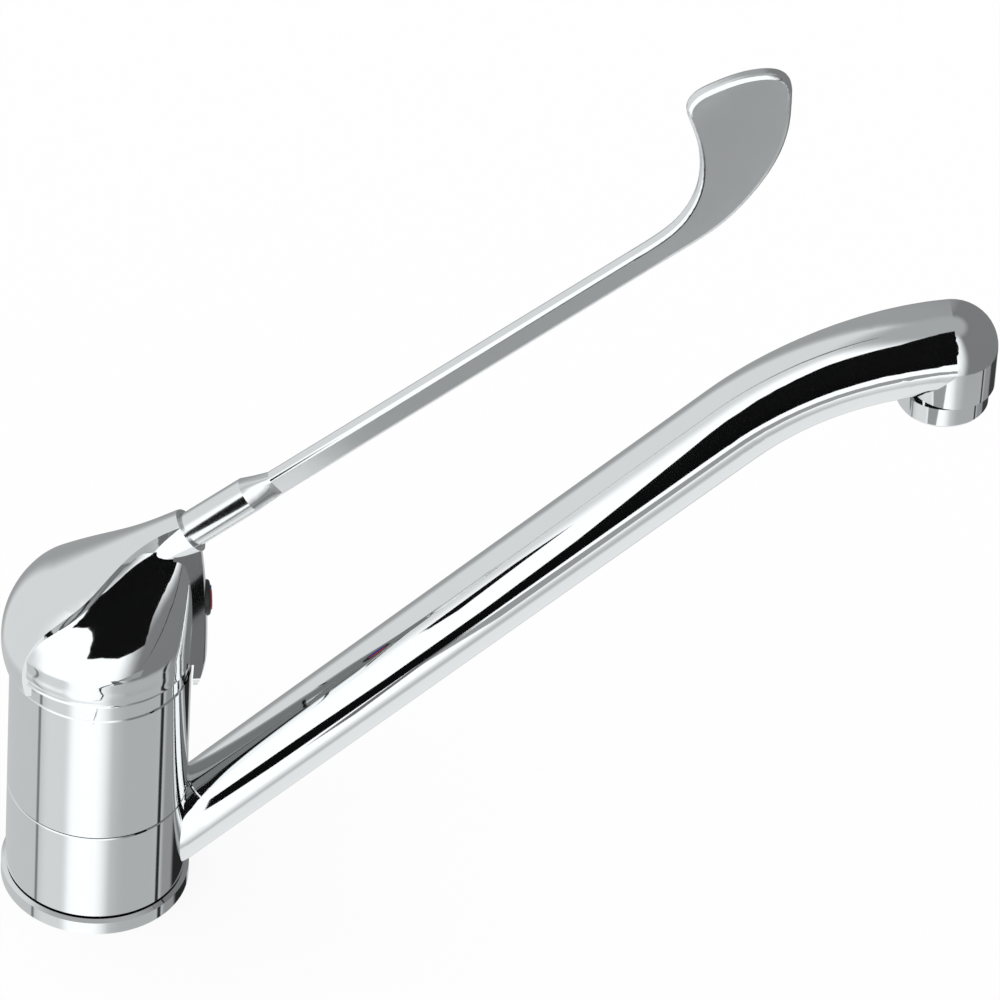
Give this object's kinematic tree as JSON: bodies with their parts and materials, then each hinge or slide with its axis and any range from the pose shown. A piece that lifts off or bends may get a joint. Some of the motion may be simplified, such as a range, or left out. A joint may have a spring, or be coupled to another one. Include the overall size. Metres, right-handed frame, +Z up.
{
  "type": "basin mixer tap",
  "caption": "Single-lever basin mixer with a swivelling rising spout at its base and a long elbow lever that ends in an upturned paddle.",
  "frame": {"origin": "centre of the flange underside, on the deck", "axes": "+Z up the column, spout and lever point to -Y at rest"},
  "size_m": [0.0524, 0.2679, 0.2844],
  "materials": {
    "base_flange": "polished",
    "base_seal": "matt",
    "retaining_clip": "plain",
    "valve_body": "polished",
    "hub_seal_lower": "matt",
    "hub_seal_upper": "matt",
    "slide_ring_lower": "moulded",
    "slide_ring_upper": "moulded",
    "top_ring": "polished",
    "cartridge_base": "moulded",
    "cartridge_seals": "matt",
    "fixed_disc": "lapped ceramic",
    "cartridge_housing": "moulded",
    "cartridge_nut": "machined",
    "cartridge_rotor": "moulded",
    "stem_pin": "plain",
    "moving_disc": "lapped ceramic",
    "disc_carrier": "moulded",
    "cartridge_stem": "machined",
    "handle_cap": "polished",
    "handle_screw": "plain",
    "indicator_plug": "moulded",
    "hot_mark": "moulded",
    "cold_mark": "moulded",
    "lever_arm": "polished",
    "spout_hub": "polished",
    "spout": "polished",
    "aerator_housing": "polished",
    "aerator_insert": "moulded",
    "aerator_screen": "plain",
    "aerator_washer": "matt"
  },
  "bodies": {
    "base": {"base_flange": "base_flange", "base_seal": "base_seal", "retaining_clip": "retaining_clip", "valve_body": "valve_body", "hub_seal_lower": "hub_seal_lower", "hub_seal_upper": "hub_seal_upper", "slide_ring_lower": "slide_ring_lower", "slide_ring_upper": "slide_ring_upper", "top_ring": "top_ring", "cartridge_base": "cartridge_base", "cartridge_seals": "cartridge_seals", "fixed_disc": "fixed_disc", "cartridge_housing": "cartridge_housing", "cartridge_nut": "cartridge_nut"},
    "turner": {"cartridge_rotor": "cartridge_rotor", "stem_pin": "stem_pin"},
    "disc": {"moving_disc": "moving_disc", "disc_carrier": "disc_carrier"},
    "handle": {"cartridge_stem": "cartridge_stem", "handle_cap": "handle_cap", "handle_screw": "handle_screw", "indicator_plug": "indicator_plug", "hot_mark": "hot_mark", "cold_mark": "cold_mark", "lever_arm": "lever_arm"},
    "spout": {"spout_hub": "spout_hub", "spout": "spout", "aerator_housing": "aerator_housing", "aerator_insert": "aerator_insert", "aerator_screen": "aerator_screen", "aerator_washer": "aerator_washer"}
  },
  "joints": [
    {"name": "spout_swivel", "type": "hinge", "parent": "base", "child": "spout", "pos_m": [0, 0, 0.02], "axis": [0, 0, 1], "continuous": true},
    {"name": "temperature_turn", "type": "hinge", "parent": "base", "child": "turner", "pos_m": [0, 0, 0.075], "axis": [0, 0, 1], "range_deg": [-50, 50]},
    {"name": "flow_lift", "type": "hinge", "parent": "turner", "child": "handle", "pos_m": [0, 0, 0.075], "axis": [-1, 0, 0], "range_deg": [0, 20]},
    {"name": "disc_slide", "type": "slide", "parent": "turner", "child": "disc", "axis": [0, -1, 0], "range_m": [0, 0.00386]}
  ],
  "couplings": [
    {"joint": "disc_slide", "follows": "flow_lift", "m_per_rad": 0.011}
  ]
}
